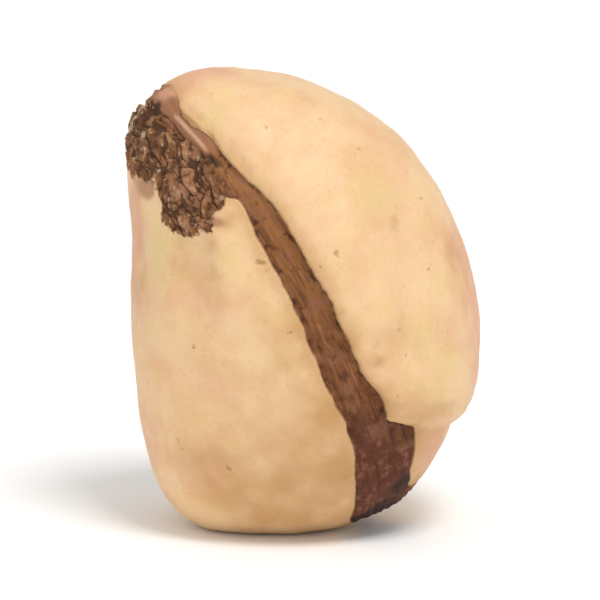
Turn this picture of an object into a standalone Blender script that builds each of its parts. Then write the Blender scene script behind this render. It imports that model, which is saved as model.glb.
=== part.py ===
"""One whole kola nut: two thick seed leaves grown together along a brown seam.

A script for Blender 4.5. Metres, +Z up, +X to the right and +Y to the back of the front view.
The nut stands on its blunt end. Its form is worked out in millimetres around its own middle,
and is then sized, stood on Z = 0 and turned into metres.
"""

import math

import bmesh
import bpy
from mathutils import Vector

# Overall size of the nut, in millimetres
NUT_WIDTH = 30.5
NUT_DEPTH = 26.0
NUT_HEIGHT = 40.0
METRES_PER_MM = 0.001

# The outline from the front is a rounded block: the way each side faces, in degrees from +X towards +Z,
# and how far out it lies, in millimetres from the nut's middle
OUTLINE_SIDES = {
    "left": (168.0, 15.9),
    "top": (112.0, 23.8),
    "top slope": (64.0, 17.8),
    "right": (21.0, 14.8),
    "bottom right": (-28.0, 16.8),
    "bottom": (-87.0, 20.4),
    "bottom left": (-166.0, 17.0),
}
CORNER_SHARPNESS = 6.0
# From the side the nut is nearly an ellipse, a little fuller at the back
FRONT_HALF_DEPTH = 14.1
BACK_HALF_DEPTH = 14.3
BELLY_SHARPNESS = 2.2
# Soft flats where other nuts in the pod pressed on it: the way each one faces, and how far out it lies
PRESSED_FLATS = {
    "front left": (Vector((-0.45, -0.88, -0.10)), 15.4),
    "front right": (Vector((0.55, -0.80, 0.20)), 15.8),
    "back": (Vector((0.15, 1.0, 0.10)), 14.4),
    "back left": (Vector((-0.60, 0.75, 0.25)), 16.4),
}
# The shoulder at the root end, where the scar sits
SHOULDER_ANGLE = 133.0
SHOULDER_HEIGHT = 3.3
SHOULDER_SPREAD = 0.29
# Places that are a little fuller or flatter than all this: the middle, reach and height of each
SWELLINGS = {
    "upper right": (Vector((12.5, 0.0, 8.0)), 6.5, 0.25),
    "lower right": (Vector((14.0, 0.0, -11.0)), 3.5, -0.35),
    "top": (Vector((-4.0, 0.0, 21.0)), 5.0, -0.35),
    "left": (Vector((-15.5, -1.0, 4.0)), 5.0, 0.35),
}
# The level of the flat patch that the nut stands on
FOOT_LEVEL = -19.9

# The front and the back of the nut pass into each other between these two places along Y
BACK_STARTS = 3.0
FRONT_STARTS = -5.0

# The seam lies near a tilted plane through the nut, and bends back a little at both ends
SEAM_FACING = Vector((0.842, 0.350, 0.410))
SEAM_OFFSET = -2.8
SEAM_BEND = 0.7
SEAM_BEND_REACH = 17.0
# It widens down the front, between an upper and a lower level
SEAM_WIDTH_TOP = 2.2
SEAM_WIDTH_LOW = 3.8
SEAM_WIDTH_BACK = 1.5
SEAM_WIDENS_FROM = 12.0
SEAM_WIDENS_TO = -10.0
# Its sides slope from a little outside its edge to a little inside
SEAM_DEPTH = 0.50
SEAM_SIDE_OUTER = -0.5
SEAM_SIDE_INNER = 0.6
LIP_DROP = 0.35
LIP_REACH = 1.9

# The crease under the right seed leaf, where the seam opens into a wider pocket
CREASE_FACING = Vector((0.0, 0.208, 0.978))
CREASE_OFFSET = -10.75
CREASE_DEPTH = 0.15
CREASE_HALF_WIDTH = 0.7
POCKET_WIDTH = 2.3
POCKET_LENGTH = 5.0
POCKET_NARROWS_TO = 0.36
POCKET_ROUNDING = 0.4
# Over the crease the leaf bulges, and the bulge starts with a soft step
BULGE_HEIGHT = 0.70
BULGE_REACH = 7.0
STEP_STARTS = -0.8
STEP_ENDS = 2.4
# The right seed leaf fades in across the seam's edge, and out towards the back along Y
RIGHT_LEAF_FADE = 0.5
RIGHT_SIDE_ENDS = 8.0
RIGHT_SIDE_STARTS = 1.0

# The crust left where the root tip and the seed coat came away: middle and half size of its lobes
SCAR_LOBES = (
    (Vector((-12.9, -4.4, 15.0)), Vector((4.2, 5.2, 4.5))),
    (Vector((-9.8, -9.0, 11.1)), Vector((3.2, 3.5, 3.5))),
    (Vector((-9.4, -8.5, 14.4)), Vector((2.8, 2.8, 2.8))),
)
# Its edge fades between these shares of a lobe's size, and it stops at the seam
SCAR_EDGE_OUTER = 1.1
SCAR_EDGE_INNER = 0.8
SCAR_STOPS_ACROSS = -0.9
SCAR_STOP_FADE = 0.5
SCAR_HEIGHT = 0.20
SCAR_RIDGE_HEIGHT = 0.12
SCAR_RIDGE_SPACING = 2.4
SCAR_RIDGE_SLANT = 0.6
# How much of the seam's channel the crust fills
SCAR_FILLS_SEAM = 0.7

# The mesh: a fine ball, with its edges halved once along the seam, the crease and the scar
BALL_SUBDIVISIONS = 5
FINE_MESH_REACH = 1.2

# The colours of the three surfaces in linear red, green and blue, and how rough each one is
FINISHES = (
    ("cream seed leaf", (0.85, 0.62, 0.35), 0.45),
    ("brown seam", (0.18, 0.075, 0.03), 0.75),
    ("scar crust", (0.12, 0.07, 0.04), 0.85),
)
SEAM_FINISH = 1
SCAR_FINISH = 2
HALFWAY = 0.5


def ease(value, start, end):
    """Goes smoothly from 0 where value is start to 1 where it is end."""
    part = min(1.0, max(0.0, (value - start) / (end - start)))
    return part * part * (3.0 - 2.0 * part)


def mix(first, second, share):
    return first + (second - first) * share


def hump(distance, reach):
    """1 at no distance, and almost 0 at twice the reach."""
    return math.exp(-((distance / reach) ** 2))


def in_outline(degrees):
    """The direction at this angle in the front view."""
    turn = math.radians(degrees)
    return Vector((math.cos(turn), 0.0, math.sin(turn)))


def side_closeness(direction, facing, distance):
    """Grows with how near one side comes to the middle, in this direction."""
    return max(0.0, facing.dot(direction) / distance) ** CORNER_SHARPNESS


def block_radius(direction):
    """How far the plain rounded block reaches from its middle, with its shoulder."""
    outline = sum(side_closeness(direction, in_outline(turn), far) for turn, far in OUTLINE_SIDES.values())
    half_depth = FRONT_HALF_DEPTH if direction.y < 0.0 else BACK_HALF_DEPTH
    belly = abs(direction.y / half_depth) ** BELLY_SHARPNESS
    total = (outline ** (BELLY_SHARPNESS / CORNER_SHARPNESS) + belly) ** (CORNER_SHARPNESS / BELLY_SHARPNESS)
    total += sum(side_closeness(direction, side.normalized(), far) for side, far in PRESSED_FLATS.values())
    from_shoulder = direction.angle(in_outline(SHOULDER_ANGLE))
    return total ** (-1.0 / CORNER_SHARPNESS) + SHOULDER_HEIGHT * hump(from_shoulder, SHOULDER_SPREAD)


def on_front(point):
    """1 on the front of the nut and 0 on its back."""
    return ease(point.y, BACK_STARTS, FRONT_STARTS)


def above_crease(point):
    """Height over the crease, which runs level around the lower right."""
    return CREASE_FACING.dot(point) - CREASE_OFFSET


def across_seam(point):
    """Distance from the seam's middle line, negative on the left seed leaf."""
    bend = SEAM_BEND * (point.z / SEAM_BEND_REACH) ** 2
    return SEAM_FACING.dot(point) - SEAM_OFFSET + bend * on_front(point)


def seam_edges(point):
    """Where the brown seam starts and ends, as distances across it."""
    front_width = mix(SEAM_WIDTH_TOP, SEAM_WIDTH_LOW, ease(point.z, SEAM_WIDENS_FROM, SEAM_WIDENS_TO))
    half = 0.5 * mix(SEAM_WIDTH_BACK, front_width, on_front(point))
    below = -above_crease(point)
    narrowing = mix(1.0, POCKET_NARROWS_TO, ease(below, 0.0, POCKET_LENGTH))
    pocket = POCKET_WIDTH * narrowing * ease(below, -POCKET_ROUNDING, POCKET_ROUNDING)
    return -half, half + pocket * on_front(point)


def inside_seam(point):
    """How far a point is inside the brown seam: negative outside it."""
    across = across_seam(point)
    start, end = seam_edges(point)
    return min(across - start, end - across)


def on_right_leaf(point):
    """1 on the right seed leaf, up to the seam's edge, on the front and right side."""
    end = seam_edges(point)[1]
    beside_seam = ease(across_seam(point), end - RIGHT_LEAF_FADE, end + RIGHT_LEAF_FADE)
    return beside_seam * ease(point.y, RIGHT_SIDE_ENDS, RIGHT_SIDE_STARTS)


def inside_scar(point):
    """1 in the middle of the scar crust, and 0 outside its edge."""
    nearness = 0.0
    for middle, half_size in SCAR_LOBES:
        gap = Vector(part / half for part, half in zip(point - middle, half_size)).length
        nearness = max(nearness, ease(gap, SCAR_EDGE_OUTER, SCAR_EDGE_INNER))
    beside_seam = SCAR_STOPS_ACROSS - across_seam(point)
    return nearness * ease(beside_seam, -SCAR_STOP_FADE, SCAR_STOP_FADE)


def swelling_relief(point):
    """All the swellings together."""
    return sum(height * hump((point - middle).length, reach) for middle, reach, height in SWELLINGS.values())


def seam_relief(point):
    """The seam is a shallow channel, and both seed leaves round in towards it."""
    inside = inside_seam(point)
    lip = LIP_DROP * hump(max(0.0, -inside), LIP_REACH)
    channel = SEAM_DEPTH * ease(inside, SEAM_SIDE_OUTER, SEAM_SIDE_INNER)
    return -lip - channel


def crease_relief(point):
    """The right seed leaf bulges over a soft crease."""
    above = above_crease(point)
    groove = CREASE_DEPTH * hump(above, CREASE_HALF_WIDTH)
    bulge = ease(above, STEP_STARTS, STEP_ENDS) * ease(above, BULGE_REACH, STEP_ENDS)
    return (BULGE_HEIGHT * bulge - groove) * on_right_leaf(point)


def scar_relief(point):
    """The scar stands a little proud, with slanting ridges like bark."""
    slant = (point.x + SCAR_RIDGE_SLANT * point.z) * math.tau / SCAR_RIDGE_SPACING
    return inside_scar(point) * (SCAR_HEIGHT + SCAR_RIDGE_HEIGHT * math.sin(slant))


def skin_point(direction):
    """The point of the nut's surface that lies in this direction from its middle."""
    point = direction * block_radius(direction)
    seam = seam_relief(point) * (1.0 - SCAR_FILLS_SEAM * inside_scar(point))
    relief = seam + swelling_relief(point) + crease_relief(point) + scar_relief(point)
    point = direction * (point.length + relief)
    if point.z < FOOT_LEVEL:
        point *= FOOT_LEVEL / point.z
    return point


def needs_fine_mesh(edge):
    """True for an edge along the seam, the crease or the scar."""
    point = (edge.verts[0].co + edge.verts[1].co).normalized()
    point *= block_radius(point)
    near_seam = inside_seam(point) > -FINE_MESH_REACH
    near_crease = on_right_leaf(point) > HALFWAY and abs(above_crease(point)) < FINE_MESH_REACH
    return near_seam or near_crease or inside_scar(point) > 0.0


def shape_nut(mesh):
    """Moves the points of a fine ball out to the nut's skin."""
    bmesh.ops.create_icosphere(mesh, subdivisions=BALL_SUBDIVISIONS, radius=1.0)
    fine_edges = [edge for edge in mesh.edges if needs_fine_mesh(edge)]
    bmesh.ops.subdivide_edges(mesh, edges=fine_edges, cuts=1)
    bmesh.ops.triangulate(mesh, faces=mesh.faces[:])
    for vert in mesh.verts:
        vert.co = skin_point(vert.co.normalized())


def paint_faces(mesh):
    """Gives the seam and the scar their own finish."""
    for face in mesh.faces:
        middle = face.calc_center_median()
        if inside_scar(middle) > HALFWAY:
            face.material_index = SCAR_FINISH
        elif inside_seam(middle) > 0.0:
            face.material_index = SEAM_FINISH


def stand_up(mesh):
    """Sizes the nut, centres it on X and Y, and stands it on Z = 0, in metres."""
    low = Vector(min(vert.co[axis] for vert in mesh.verts) for axis in range(3))
    high = Vector(max(vert.co[axis] for vert in mesh.verts) for axis in range(3))
    size = high - low
    foot = Vector(((low.x + high.x) / 2.0, (low.y + high.y) / 2.0, low.z))
    scale = Vector((NUT_WIDTH / size.x, NUT_DEPTH / size.y, NUT_HEIGHT / size.z)) * METRES_PER_MM
    for vert in mesh.verts:
        vert.co = (vert.co - foot) * scale


def plain_material(name, colour, roughness):
    """A material with one colour, given as linear red, green and blue."""
    material = bpy.data.materials.new(name)
    material.use_nodes = True
    shader = material.node_tree.nodes["Principled BSDF"]
    shader.inputs["Base Color"].default_value = (*colour, 1.0)
    shader.inputs["Roughness"].default_value = roughness
    shader.inputs["Metallic"].default_value = 0.0
    return material


def make_kola_nut():
    """The nut is one grown piece, so it is one closed solid."""
    mesh = bmesh.new()
    shape_nut(mesh)
    paint_faces(mesh)
    stand_up(mesh)
    data = bpy.data.meshes.new("kola_nut")
    mesh.to_mesh(data)
    mesh.free()
    data.shade_smooth()
    for name, colour, roughness in FINISHES:
        data.materials.append(plain_material(name, colour, roughness))
    nut = bpy.data.objects.new("kola_nut", data)
    bpy.context.scene.collection.objects.link(nut)
    return nut


def clear_scene():
    for thing in list(bpy.data.objects):
        bpy.data.objects.remove(thing, do_unlink=True)


clear_scene()
make_kola_nut()
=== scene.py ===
# %% [markdown]
# # A whole kola nut
#
# A kola nut is the seed of a tree, with its white seed coat peeled off. What is left is a pair of thick
# seed leaves, grown together along a seam that holds a little brown tissue. On one shoulder sits a rough
# scar, where the root tip and the seed coat came away.
#
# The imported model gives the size, the place and the weight. This script makes the fine skin around it:
# one closed mesh whose points are moved by short formulas, and one material that finds the seam, the scar
# and the stains by marks stored on those points.

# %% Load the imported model
import math

import bmesh
import bpy
from mathutils import Matrix, Vector, noise


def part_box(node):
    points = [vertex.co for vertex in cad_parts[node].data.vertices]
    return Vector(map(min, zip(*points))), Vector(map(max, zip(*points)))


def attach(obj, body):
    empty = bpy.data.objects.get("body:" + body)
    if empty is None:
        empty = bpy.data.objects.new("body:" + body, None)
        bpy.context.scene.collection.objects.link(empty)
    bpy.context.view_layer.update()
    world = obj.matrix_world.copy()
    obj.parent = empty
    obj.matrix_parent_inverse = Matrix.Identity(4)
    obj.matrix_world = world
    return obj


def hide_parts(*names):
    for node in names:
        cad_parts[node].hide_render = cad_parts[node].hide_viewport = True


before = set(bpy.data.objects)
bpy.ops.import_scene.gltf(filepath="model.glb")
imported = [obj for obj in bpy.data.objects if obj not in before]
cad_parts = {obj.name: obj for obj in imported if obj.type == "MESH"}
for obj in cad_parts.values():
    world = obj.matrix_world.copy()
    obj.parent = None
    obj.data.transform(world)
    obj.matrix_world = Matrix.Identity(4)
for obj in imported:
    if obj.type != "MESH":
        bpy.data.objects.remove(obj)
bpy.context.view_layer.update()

CAD_NODE = "kola_nut"
NUT_LOW, NUT_HIGH = [Vector(corner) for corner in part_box(CAD_NODE)]
NUT_SIZE = NUT_HIGH - NUT_LOW
METRES_PER_MM = 0.001
print("nut size in mm:", [round(side / METRES_PER_MM, 2) for side in NUT_SIZE])

# %% [markdown]
# ## Ways to blend
#
# Nothing on a grown thing starts with a sharp step, so nearly every formula below fades in and out. A
# smooth step is the usual tool: it is flat at both ends, so no edge shows where a shape begins. A hump is
# the same idea for something with a middle, such as a swelling. In every formula below, a pair of numbers
# named for a fade says where it is 0 and where it is 1.

# %% Blending helpers
def ease(value, start, end):
    """Goes smoothly from 0 where value is start to 1 where it is end."""
    part = min(1.0, max(0.0, (value - start) / (end - start)))
    return part * part * (3.0 - 2.0 * part)


def mix(first, second, share):
    """Goes evenly from first to second as share goes from 0 to 1."""
    return first + (second - first) * share


def hump(distance, reach):
    """1 at no distance, and almost 0 at twice the reach."""
    return math.exp(-((distance / reach) ** 2))


def stretched(point, wave):
    """The point counted in waves that may differ in length along X, Y and Z."""
    return Vector((point.x / wave.x, point.y / wave.y, point.z / wave.z))


# where the noise is read for the X, Y and Z of a push: any three places far apart
PUSH_READINGS = [Vector((0.0, 0.0, 0.0)), Vector((31.4, 0.0, 5.2)), Vector((7.7, 42.9, 0.0))]


def noise_push(point):
    """A smooth push in any direction: the same noise read at three places far apart."""
    return Vector([noise.noise(point + far) for far in PUSH_READINGS])


# %% [markdown]
# ## The plain body
#
# Kola nuts grow packed in a pod, so each one is an egg with soft flats where its neighbours pressed on it.
# It could be sculpted, or built from a subdivided cage. A formula suits it better: in each direction from
# the middle it takes the nearest of several sides, and blends the sides with a high power, which rounds
# every corner. The sides draw the outline from the front, and the depth is close to an ellipse. All
# lengths are in millimetres from the nut's middle, with +X to the right, +Y to the back and +Z up.

# %% Body form
# each side's direction in the front view, in degrees, and its distance from the middle
OUTLINE_SIDES = {
    "left": (168.0, 15.9),
    "top": (112.0, 23.8),
    "top slope": (64.0, 17.8),
    "right": (21.0, 14.8),
    "bottom right": (-28.0, 16.8),
    "bottom": (-87.0, 20.4),
    "bottom left": (-166.0, 17.0),
}
# each flat's direction, and its distance from the middle
PRESSED_FLATS = {
    "front left": (Vector((-0.45, -0.88, -0.10)), 15.4),
    "front right": (Vector((0.55, -0.80, 0.20)), 15.8),
    "back": (Vector((0.15, 1.0, 0.10)), 14.4),
    "back left": (Vector((-0.60, 0.75, 0.25)), 16.4),
}
CORNER_SHARPNESS = 6.0
BELLY_SHARPNESS = 2.2
FRONT_HALF_DEPTH = 14.1
BACK_HALF_DEPTH = 14.3
SHOULDER_ANGLE = 133.0
SHOULDER_HEIGHT = 3.3
SHOULDER_SPREAD = 0.29


def in_outline(degrees):
    """The direction at this angle in the front view, from +X towards +Z."""
    turn = math.radians(degrees)
    return Vector((math.cos(turn), 0.0, math.sin(turn)))


OUTLINE_FACINGS = [in_outline(turn) / far for turn, far in OUTLINE_SIDES.values()]
FLAT_FACINGS = [side.normalized() / far for side, far in PRESSED_FLATS.values()]
SHOULDER_FACING = in_outline(SHOULDER_ANGLE)


def body_radius(direction):
    """How far the plain body reaches from its middle in this direction."""
    outline = sum(max(0.0, facing.dot(direction)) ** CORNER_SHARPNESS for facing in OUTLINE_FACINGS)
    half_depth = FRONT_HALF_DEPTH if direction.y < 0.0 else BACK_HALF_DEPTH
    belly = abs(direction.y / half_depth) ** BELLY_SHARPNESS
    total = outline ** (BELLY_SHARPNESS / CORNER_SHARPNESS) + belly
    total **= CORNER_SHARPNESS / BELLY_SHARPNESS
    total += sum(max(0.0, facing.dot(direction)) ** CORNER_SHARPNESS for facing in FLAT_FACINGS)
    turn = direction.angle(SHOULDER_FACING) / SHOULDER_SPREAD
    return total ** (-1.0 / CORNER_SHARPNESS) + SHOULDER_HEIGHT * math.exp(-turn * turn)


print("plain body, front and back reach:", [round(body_radius(Vector((0, y, 0))), 2) for y in (-1, 1)])

# %% [markdown]
# ## Where the seam runs
#
# The seed leaves meet near one tilted plane, so the seam is a band around the nut, at about equal distance
# from that plane. Two measures place everything on it: how far across it a point lies, and how far along.

# %% Seam line
SEAM_FACING = Vector((0.842, 0.350, 0.410)).normalized()
SEAM_UP = (Vector((0.0, 0.0, 1.0)) - SEAM_FACING * SEAM_FACING.z).normalized()
SEAM_OUT = SEAM_FACING.cross(SEAM_UP)
SEAM_OFFSET = -2.8
SEAM_BEND = 0.7
SEAM_BEND_REACH = 17.0
SEAM_ROUND = 16.0
FRONT_FADE = (3.0, -5.0)


def on_front(point):
    """1 on the front of the nut and 0 on its back."""
    return ease(point.y, *FRONT_FADE)


def across_seam(point):
    """Distance from the seam's middle line, negative on the left seed leaf."""
    bend = SEAM_BEND * (point.z / SEAM_BEND_REACH) ** 2
    return SEAM_FACING.dot(point) - SEAM_OFFSET + bend * on_front(point)


def along_seam(point):
    """Distance travelled around the nut along the seam: 0 at its top, and positive down the front."""
    return SEAM_ROUND * math.atan2(SEAM_OUT.dot(point), SEAM_UP.dot(point))


print("the seam plane's front edge points to", [round(part, 2) for part in SEAM_OUT])

# %% [markdown]
# ## The seam's two edges
#
# The seam is narrow on the back and at the shoulder, and widens in a few soft steps down the front. Its
# edges are never straight, so slow noise moves each one by a fraction of a millimetre. At the lower
# right the right seed leaf ends over a level crease, and the seam opens there into a pocket of dark
# tissue, measured from a plane of its own.

# %% Seam edges
CREASE_FACING = Vector((0.0, 0.208, 0.978))
CREASE_OFFSET = -10.75
POCKET_WIDTH = 2.35
POCKET_LENGTH = 5.0
POCKET_NARROWS_TO = 0.36
POCKET_TOP_FADE = (-0.3, 0.4)
BACK_HALF_WIDTH = 0.65
# each step of an edge: where it starts and ends along the seam, and how far the edge moves out
LEFT_EDGE_STEPS = (
    (-6.0, -3.0, 0.50),
    (5.2, 6.2, 0.55),
    (6.9, 8.5, -0.65),
    (8.8, 12.0, 0.60),
    (21.0, 25.0, 0.48),
    (31.0, 34.0, -0.30),
    (36.0, 40.0, 0.50),
    (44.0, 49.0, -1.55),
)
RIGHT_EDGE_STEPS = (
    (-4.0, -2.0, 0.20),
    (-0.4, 1.2, -1.10),
    (1.0, 6.0, 0.65),
    (5.8, 11.4, 0.75),
    (18.0, 22.0, 0.10),
    (28.0, 34.0, 0.65),
    (42.2, 44.6, 1.70),
    (46.0, 50.0, -3.10),
)
EDGE_WANDER = 0.34
EDGE_WAVE = 2.6
EDGE_NOTCH = 0.09
EDGE_NOTCH_WAVE = 0.8
RIGHT_EDGE_SHIFT = Vector((7.0, 3.0, 5.0))
RIGHT_LEAF_EDGE_FADE = (-0.3, 0.5)
RIGHT_LEAF_BACK_FADE = (9.0, 2.0)


def above_crease(point):
    """Height over the crease."""
    return CREASE_FACING.dot(point) - CREASE_OFFSET


def edge_distance(along, steps):
    """How far one edge lies from the seam's middle line."""
    return BACK_HALF_WIDTH + sum(more * ease(along, start, end) for start, end, more in steps)


def edge_wander(point):
    """How far an edge of the seam strays from its course here."""
    return EDGE_WANDER * noise.noise(point / EDGE_WAVE) + EDGE_NOTCH * noise.noise(point / EDGE_NOTCH_WAVE)


def seam_edges(point):
    """Where the brown seam starts and ends, as distances across it."""
    along = along_seam(point)
    below = -above_crease(point)
    pocket = POCKET_WIDTH * ease(below, *POCKET_TOP_FADE)
    pocket *= mix(1.0, POCKET_NARROWS_TO, ease(below, 0.0, POCKET_LENGTH))
    start = edge_wander(point) - edge_distance(along, LEFT_EDGE_STEPS)
    end = edge_wander(point + RIGHT_EDGE_SHIFT) + edge_distance(along, RIGHT_EDGE_STEPS)
    return start, end + pocket * on_front(point)


def inside_seam(point):
    """How many millimetres a point is inside the brown seam: negative outside it."""
    across = across_seam(point)
    start, end = seam_edges(point)
    return min(across - start, end - across)


def on_right_leaf(point):
    """1 on the right of the seam and its pocket, on the front and the right side."""
    past_edge = across_seam(point) - seam_edges(point)[1]
    return ease(past_edge, *RIGHT_LEAF_EDGE_FADE) * ease(point.y, *RIGHT_LEAF_BACK_FADE)


print("seam edges at the lower front:", [round(edge, 2) for edge in seam_edges(Vector((4.0, -12.8, -4.2)))])

# %% [markdown]
# ## Where the scar lies
#
# The scar is a torn patch on the shoulder, with a lobe that hangs down the left seed leaf. Three stretched
# balls give its rough outline, and it stops at the seam. Noise with long upright waves then frays that
# outline, because the coat tore off downwards.

# %% Scar outline
SCAR_LOBES = (
    (Vector((-12.9, -4.4, 15.3)), Vector((4.2, 5.2, 4.2))),
    (Vector((-9.9, -9.0, 11.1)), Vector((3.65, 3.6, 3.5))),
    (Vector((-9.4, -8.5, 14.4)), Vector((2.8, 2.8, 2.8))),
)
SCAR_FRAY = 0.8
SCAR_FRAY_WAVE = Vector((0.8, 0.8, 1.8))
# how fast its finer waves fade, how much finer each is than the last, and how many there are
SCAR_FRAY_DETAIL = (1.2, 2.1, 3)
SCAR_STOPS_ACROSS = -0.9
FAR_FROM_SCAR = -3.0


def inside_scar(point):
    """About how many millimetres a point is inside the scar: negative outside it."""
    inside = 2.0 * FAR_FROM_SCAR
    for middle, half_size in SCAR_LOBES:
        gap = stretched(point - middle, half_size).length
        inside = max(inside, (1.0 - gap) * min(half_size))
    if inside < FAR_FROM_SCAR:
        return inside
    inside += SCAR_FRAY * noise.fractal(stretched(point, SCAR_FRAY_WAVE), *SCAR_FRAY_DETAIL)
    return min(inside, SCAR_STOPS_ACROSS - across_seam(point))


print("inside the scar at its middle:", round(inside_scar(SCAR_LOBES[0][0]), 2), "mm")

# %% [markdown]
# ## Swellings and wrinkles of the seed leaves
#
# What makes a nut look grown is the slow swelling of its skin, a few tenths of a millimetre over a
# centimetre. Finer wrinkles run along the nut. Below the scar the skin is drawn into a shallow valley
# between low ridges. Noise gives the first two. The valley is given, and so are a few swellings
# where this nut is fuller or flatter than its plain body.

# %% Seed leaf relief
SWELL_WAVE = 8.0
SWELL_HEIGHT = 0.22
SWELL_SHIFT = Vector((2.0, 8.0, 1.0))
# each swelling given: its middle, its reach and its height
SWELLINGS = (
    (Vector((12.5, 0.0, 8.0)), 6.5, 0.25),
    (Vector((14.0, 0.0, -11.0)), 3.5, -0.35),
    (Vector((-4.0, 0.0, 21.0)), 5.0, -0.35),
    (Vector((-15.5, -1.0, 4.0)), 5.0, 0.35),
)
LUMP_WAVE = 3.4
LUMP_HEIGHT = 0.11
LUMP_DETAIL = (1.0, 2.0, 3)
WRINKLE_WAVE = Vector((1.1, 1.1, 4.5))
WRINKLE_HEIGHT = 0.06
WRINKLE_LEVEL = 0.3
# each line of the valley: how far right it lies, its half width, and its height
VALLEY_LINES = (
    (-9.4, 1.1, -0.46),
    (-12.0, 1.1, 0.20),
    (-7.2, 1.0, 0.24),
)
VALLEY_BOTTOM_FADE = (-2.5, 5.0)
VALLEY_TOP_FADE = (10.0, 7.0)
VALLEY_SIDE_FADE = (-4.0, -8.0)
VALLEY_SLANT = 0.10
VALLEY_MIDDLE = 6.0


def valley_relief(point):
    """The drawn-in skin under the scar: a shallow valley with a ridge on each side."""
    fade = ease(point.z, *VALLEY_BOTTOM_FADE) * ease(point.z, *VALLEY_TOP_FADE)
    fade *= ease(point.y, *VALLEY_SIDE_FADE)
    if fade == 0.0:
        return 0.0
    sway = VALLEY_SLANT * (point.z - VALLEY_MIDDLE)
    return fade * sum(height * hump(point.x - line + sway, width) for line, width, height in VALLEY_LINES)


def leaf_relief(point):
    """Swellings, lumps, wrinkles and the valley together."""
    swell = SWELL_HEIGHT * noise.noise(point / SWELL_WAVE + SWELL_SHIFT)
    lumps = LUMP_HEIGHT * noise.fractal(point / LUMP_WAVE, *LUMP_DETAIL)
    wrinkles = WRINKLE_HEIGHT * (WRINKLE_LEVEL - abs(noise.noise(stretched(point, WRINKLE_WAVE))))
    by_hand = sum(height * hump((point - middle).length, reach) for middle, reach, height in SWELLINGS)
    return swell + by_hand + lumps + wrinkles + valley_relief(point)


print("valley depth:", round(valley_relief(Vector((-9.4, -10.0, 5.0))), 2), "mm")

# %% [markdown]
# ## The seam's own relief
#
# The seed leaves round in towards the seam like two lips. Between them lies a channel with torn brown
# fibres that run along it, a little higher in the middle, and low down the tissue fills it. The fibres are
# noise again, read in the seam's own directions: short waves across it and long ones along it.

# %% Seam relief
LIP_DROP = 0.42
LIP_REACH = 2.0
RIGHT_LIP_RISE = 0.20
RIGHT_LIP_REACH = 4.0
SEAM_DEPTH = 0.52
MIDDLE_RISE = 0.20
POCKET_FILL = 0.85
FIBRE_HEIGHT = 0.13
# each set of fibres: their spacing, their length, their share, and where its noise is read
FIBRE_SETS = (
    (0.42, 3.4, 1.1, 4.0),
    (0.42 / 2.3, 1.7, 0.7, 9.0),
)
CHANNEL_FADE = (-0.18, 0.32)
MIDDLE_FADE = (0.3, 1.3)
FIBRE_FADE = (0.0, 0.4)
RIGHT_LIP_FADE = (0.5, 2.0)
FILLED_ALONG_FADE = (35.0, 41.0)


def fibre_relief(point):
    """From about -1 to 1: ridges that run along the seam."""
    across = across_seam(point)
    along = along_seam(point)
    ridges = 0.0
    for spacing, length, share, level in FIBRE_SETS:
        ridges += share * noise.noise(Vector((across / spacing, along / length, level)))
    return ridges


def seam_relief(point, inside):
    """Lips, channel and fibres together."""
    lip = LIP_DROP * hump(max(0.0, -inside), LIP_REACH)
    channel = SEAM_DEPTH * ease(inside, *CHANNEL_FADE)
    middle = MIDDLE_RISE * ease(inside, *MIDDLE_FADE)
    fibres = FIBRE_HEIGHT * fibre_relief(point) * ease(inside, *FIBRE_FADE)
    right = across_seam(point)
    rise = RIGHT_LIP_RISE * ease(right, *RIGHT_LIP_FADE)
    rise *= hump(max(0.0, right - RIGHT_LIP_FADE[1]), RIGHT_LIP_REACH)
    sunk = 1.0 - POCKET_FILL * ease(along_seam(point), *FILLED_ALONG_FADE)
    return rise + fibres + sunk * (middle - lip - channel)


print("seam depth in its middle:", round(seam_relief(Vector((0.9, -13.2, 2.8)), 1.3), 2), "mm")

# %% [markdown]
# ## The crease's relief
#
# Above the crease the right seed leaf bulges over a few millimetres, and below it the skin steps in. The
# crease itself is only a soft dent between the two, with two fainter folds over it, and all of them fade
# towards the back.

# %% Crease relief
# each fold: how far over the crease it lies, its half width and its depth
CREASE_FOLDS = (
    (0.0, 0.50, 0.17),
    (1.9, 0.35, 0.07),
    (3.3, 0.45, 0.04),
)
CREASE_BULGE = 0.70
CREASE_BULGE_REACH = 7.0
CREASE_STEP_STARTS = -0.8
CREASE_STEP_ENDS = 2.4


def crease_relief(point):
    """The bulge over the crease, and its folds."""
    above = above_crease(point)
    if abs(above) > CREASE_BULGE_REACH:
        return 0.0
    folds = sum(depth * hump(above - place, half_width) for place, half_width, depth in CREASE_FOLDS)
    bulge = ease(above, CREASE_STEP_STARTS, CREASE_STEP_ENDS)
    bulge *= ease(above, CREASE_BULGE_REACH, CREASE_STEP_ENDS)
    return (CREASE_BULGE * bulge - folds) * on_right_leaf(point)


print("bulge over the crease:", round(crease_relief(Vector((12.0, -6.5, -7.0))), 2), "mm")

# %% [markdown]
# ## The scar's crust
#
# The crust looks like bark: slabs with slanting cracks between them, drawn out along the seam. Rounded
# cells would look like pebbles, so the cracks are the zero lines of stretched noise, which wander, fork
# and die out as real cracks do. Everything is read across and along the seam, bent by slower noise.

# %% Crust relief
SCAR_LIFT = 0.15
CRUST_HEIGHT = 0.42
CRUST_MIDDLE = 0.5
SLAB_WIDTH = 0.95
SLAB_LENGTH = 1.7
SLAB_BEND = 0.7
SLAB_BEND_WAVE = 1.6
SLAB_LEVEL = 0.72
SLAB_UNEVENNESS = 0.55
SLAB_DETAIL = (0.8, 2.3, 4)
HIGHEST_SLAB = 1.2
# each set of cracks: how often it repeats compared with the slabs, its cracks' width, and their depth
CRACK_SETS = (
    (0.8, 0.10, 0.55),
    (1.7, 0.12, 0.35),
    (3.4, 0.14, 0.18),
)
CRACK_SHIFT = 5.0
SCAR_EDGE_FADE = (-0.5, 0.4)


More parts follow.
